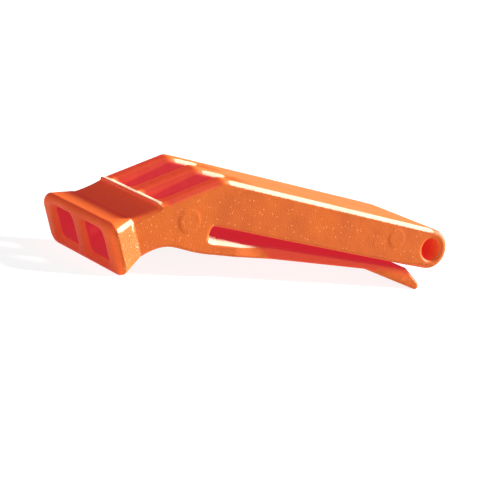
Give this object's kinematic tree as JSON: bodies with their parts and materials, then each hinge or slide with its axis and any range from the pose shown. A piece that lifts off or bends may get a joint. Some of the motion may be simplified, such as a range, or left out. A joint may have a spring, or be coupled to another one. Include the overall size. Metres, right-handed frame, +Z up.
{
  "type": "pealess whistle",
  "caption": "Flat pealess whistle with twin windows, a flared mouthpiece lip, a lanyard hole at the tail and a spring clip along its underside.",
  "frame": {"origin": "bottom centre of the bounding box, on the plane that the lip and the clip's foot rest on", "axes": "+X from the mouthpiece to the tail, +Y to the user's left, +Z up, with the clip underneath"},
  "size_m": [0.0648, 0.024, 0.0158],
  "materials": {
    "shell": "fine spark-eroded texture on the sides, smoother on top",
    "lip": "satin, softly rounded",
    "insert": "as moulded",
    "clip": "fine spark-eroded texture"
  },
  "bodies": {
    "body": {"right_shell": "shell", "left_shell": "shell", "centre_plate": "shell", "mouthpiece_cap": "lip", "right_fipple_block": "insert", "left_fipple_block": "insert", "right_tone_stop": "insert", "left_tone_stop": "insert"},
    "clip": {"clip_tongue": "clip"}
  },
  "joints": [
    {"name": "clip_flex", "type": "hinge", "parent": "body", "child": "clip", "pos_m": [-0.01213, 0, 0.00505], "axis": [0, 1, 0], "range_deg": [0, 6], "stiffness_Nm_per_rad": 3}
  ]
}
